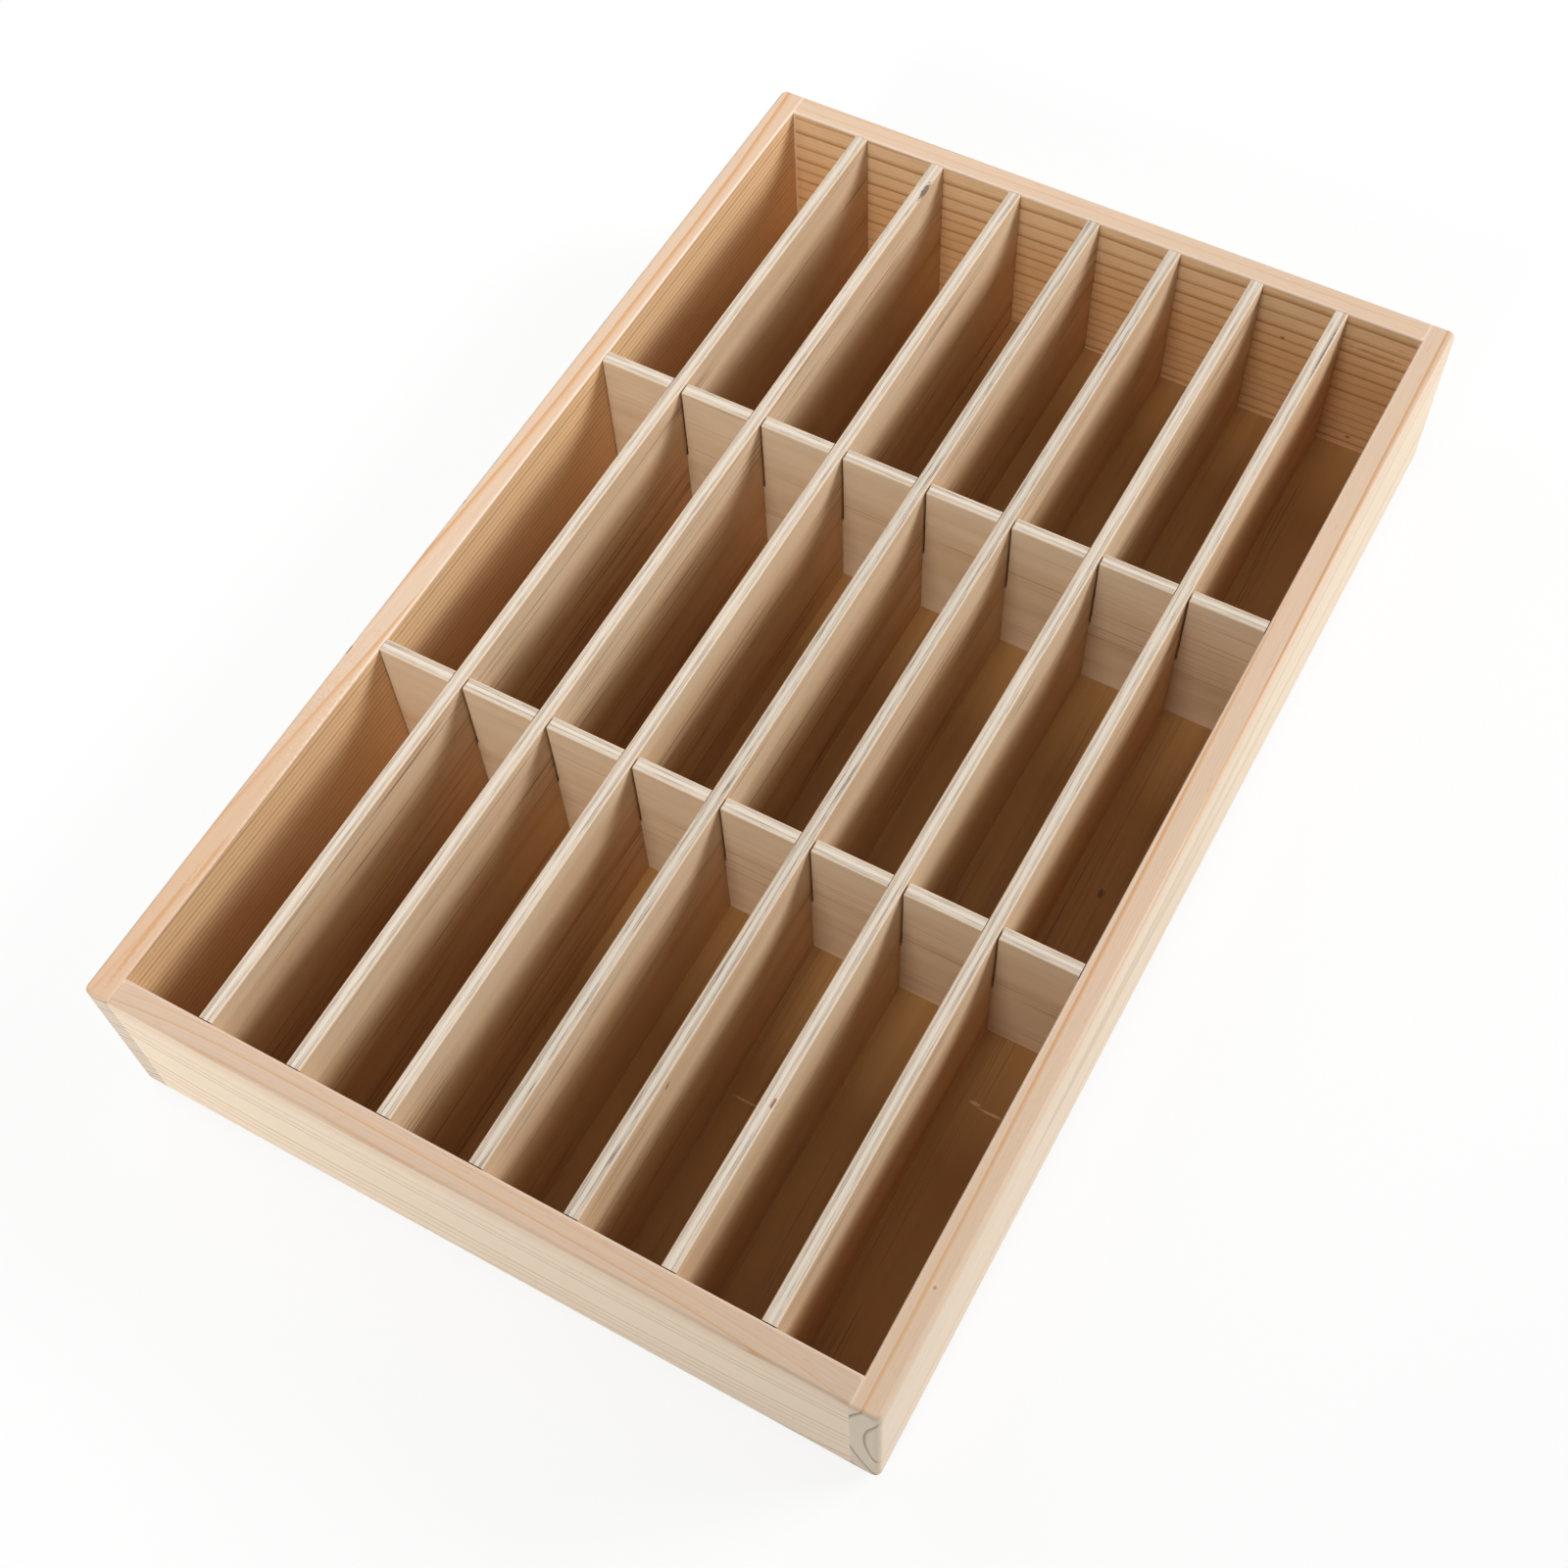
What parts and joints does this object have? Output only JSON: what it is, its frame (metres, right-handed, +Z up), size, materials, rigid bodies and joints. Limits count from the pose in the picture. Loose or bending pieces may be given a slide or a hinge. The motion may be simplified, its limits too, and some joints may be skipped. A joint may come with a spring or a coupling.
{
  "type": "wooden desk organizer",
  "caption": "Open rectangular pine box with a lift-out egg-crate grid of plywood dividers that parts it into narrow upright compartments for phones, cards and stationery.",
  "frame": {"origin": "middle of the underside of the bottom panel, on the surface that the box stands on", "axes": "+X across the width to the right, +Y along the length from the front end to the back end, +Z up"},
  "size_m": [0.331, 0.53, 0.083],
  "materials": {
    "pine": "sanded, clear satin",
    "divider_plywood": "sanded, unfinished",
    "floor_plywood": "sanded, unfinished",
    "steel": "plain wire"
  },
  "bodies": {
    "box": {"left_side": "pine", "right_side": "pine", "front_end": "pine", "back_end": "pine", "bottom_panel": "floor_plywood", "corner_pins": "steel", "bottom_pins": "steel"},
    "cross_dividers": {"cross_divider_1": "divider_plywood", "cross_divider_2": "divider_plywood"},
    "long_divider_1": {"long_divider_1": "divider_plywood"},
    "long_divider_2": {"long_divider_2": "divider_plywood"},
    "long_divider_3": {"long_divider_3": "divider_plywood"},
    "long_divider_4": {"long_divider_4": "divider_plywood"},
    "long_divider_5": {"long_divider_5": "divider_plywood"},
    "long_divider_6": {"long_divider_6": "divider_plywood"},
    "long_divider_7": {"long_divider_7": "divider_plywood"}
  },
  "joints": [
    {"name": "grid_lift", "type": "slide", "parent": "box", "child": "cross_dividers", "axis": [0, 0, 1], "range_m": [0, 0.09]},
    {"name": "long_divider_1_lift", "type": "slide", "parent": "cross_dividers", "child": "long_divider_1", "axis": [0, 0, 1], "range_m": [0, 0.09]},
    {"name": "long_divider_2_lift", "type": "slide", "parent": "cross_dividers", "child": "long_divider_2", "axis": [0, 0, 1], "range_m": [0, 0.09]},
    {"name": "long_divider_3_lift", "type": "slide", "parent": "cross_dividers", "child": "long_divider_3", "axis": [0, 0, 1], "range_m": [0, 0.09]},
    {"name": "long_divider_4_lift", "type": "slide", "parent": "cross_dividers", "child": "long_divider_4", "axis": [0, 0, 1], "range_m": [0, 0.09]},
    {"name": "long_divider_5_lift", "type": "slide", "parent": "cross_dividers", "child": "long_divider_5", "axis": [0, 0, 1], "range_m": [0, 0.09]},
    {"name": "long_divider_6_lift", "type": "slide", "parent": "cross_dividers", "child": "long_divider_6", "axis": [0, 0, 1], "range_m": [0, 0.09]},
    {"name": "long_divider_7_lift", "type": "slide", "parent": "cross_dividers", "child": "long_divider_7", "axis": [0, 0, 1], "range_m": [0, 0.09]}
  ]
}
